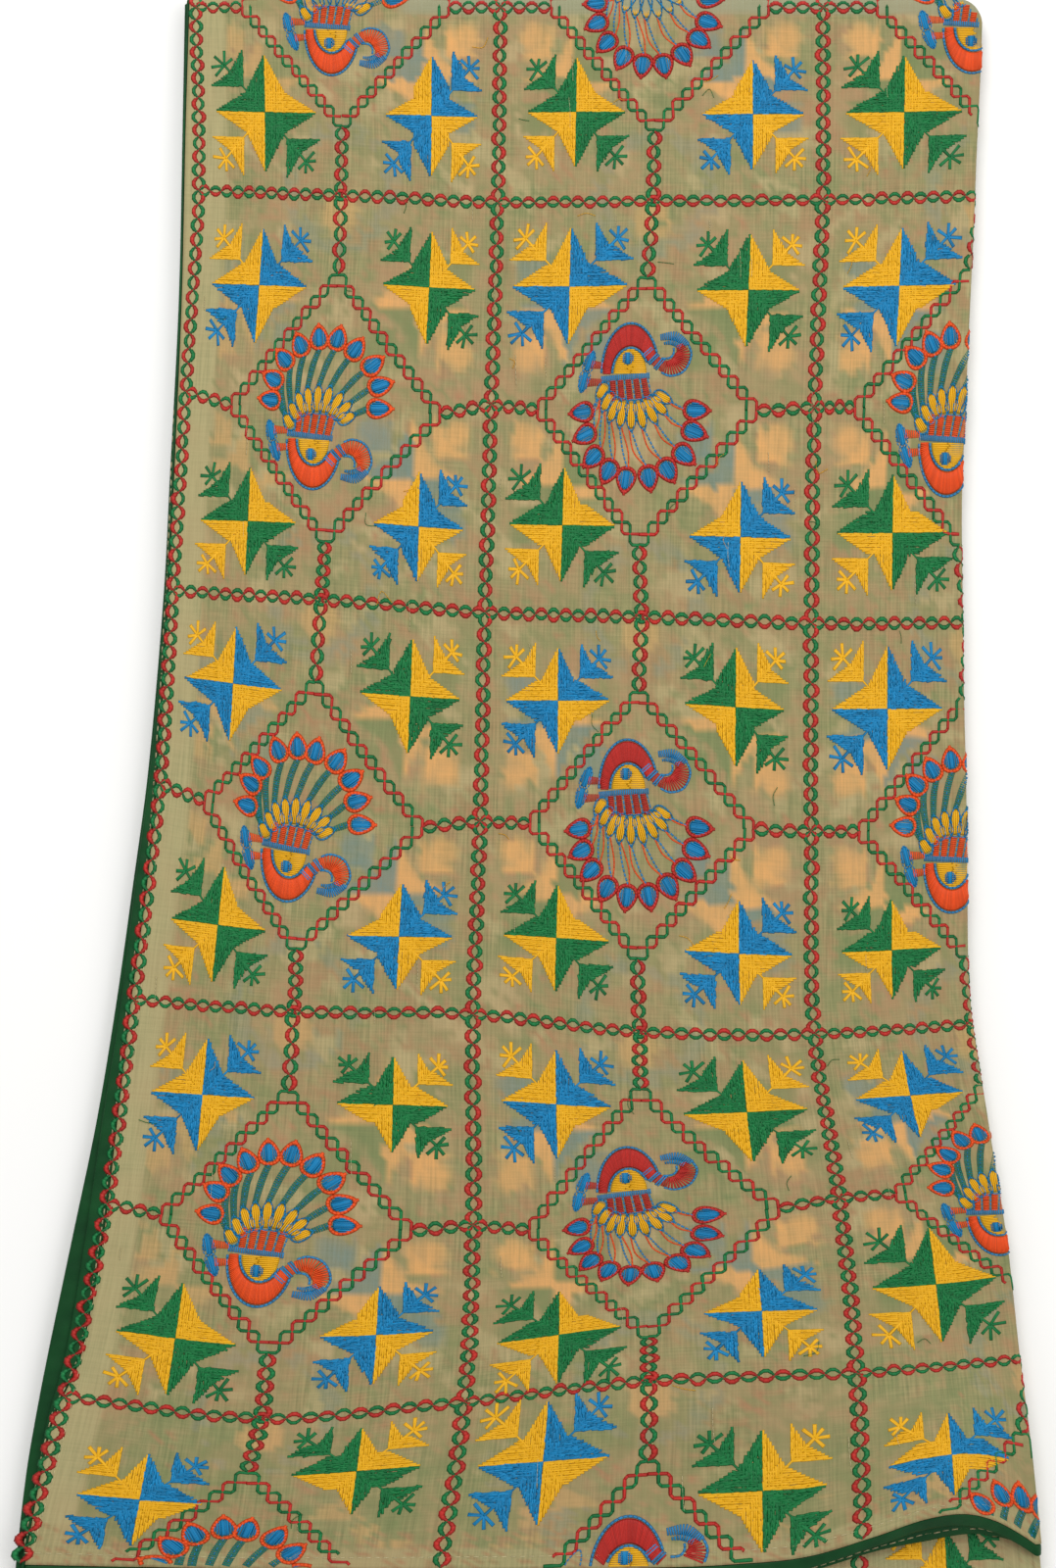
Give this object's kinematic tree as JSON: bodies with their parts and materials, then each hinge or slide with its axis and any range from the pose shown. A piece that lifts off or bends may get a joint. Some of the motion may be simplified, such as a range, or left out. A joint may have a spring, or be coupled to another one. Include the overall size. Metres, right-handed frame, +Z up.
{
  "type": "phulkari shawl",
  "caption": "Folded sheer shawl with a gridded embroidery of diamonds, stars and peacocks and a dark green bound edge, lying flat.",
  "frame": {"origin": "centre of the folded shawl's outline, on the surface that it lies on", "axes": "+X from the bound side edge to the lengthwise fold, +Y from the near hems to the far cross fold, +Z up"},
  "size_m": [0.4965, 0.798, 0.0271],
  "materials": {
    "sheer_cloth": "sheer plain weave with floss embroidery",
    "folded_layers": "sheer plain weave with floss embroidery, in folded layers",
    "satin_binding": "dark green satin, turned over the cloth's edge and stitched"
  },
  "bodies": {
    "root": {"front_panel": "sheer_cloth", "front_hem_binding": "satin_binding", "second_hem_binding": "satin_binding", "front_side_binding": "satin_binding", "second_side_binding": "satin_binding", "outer_fold_side_binding": "satin_binding", "inner_fold_side_binding": "satin_binding", "far_hem_binding_upper": "satin_binding", "far_hem_binding_lower": "satin_binding", "under_layers": "folded_layers"}
  },
  "joints": []
}
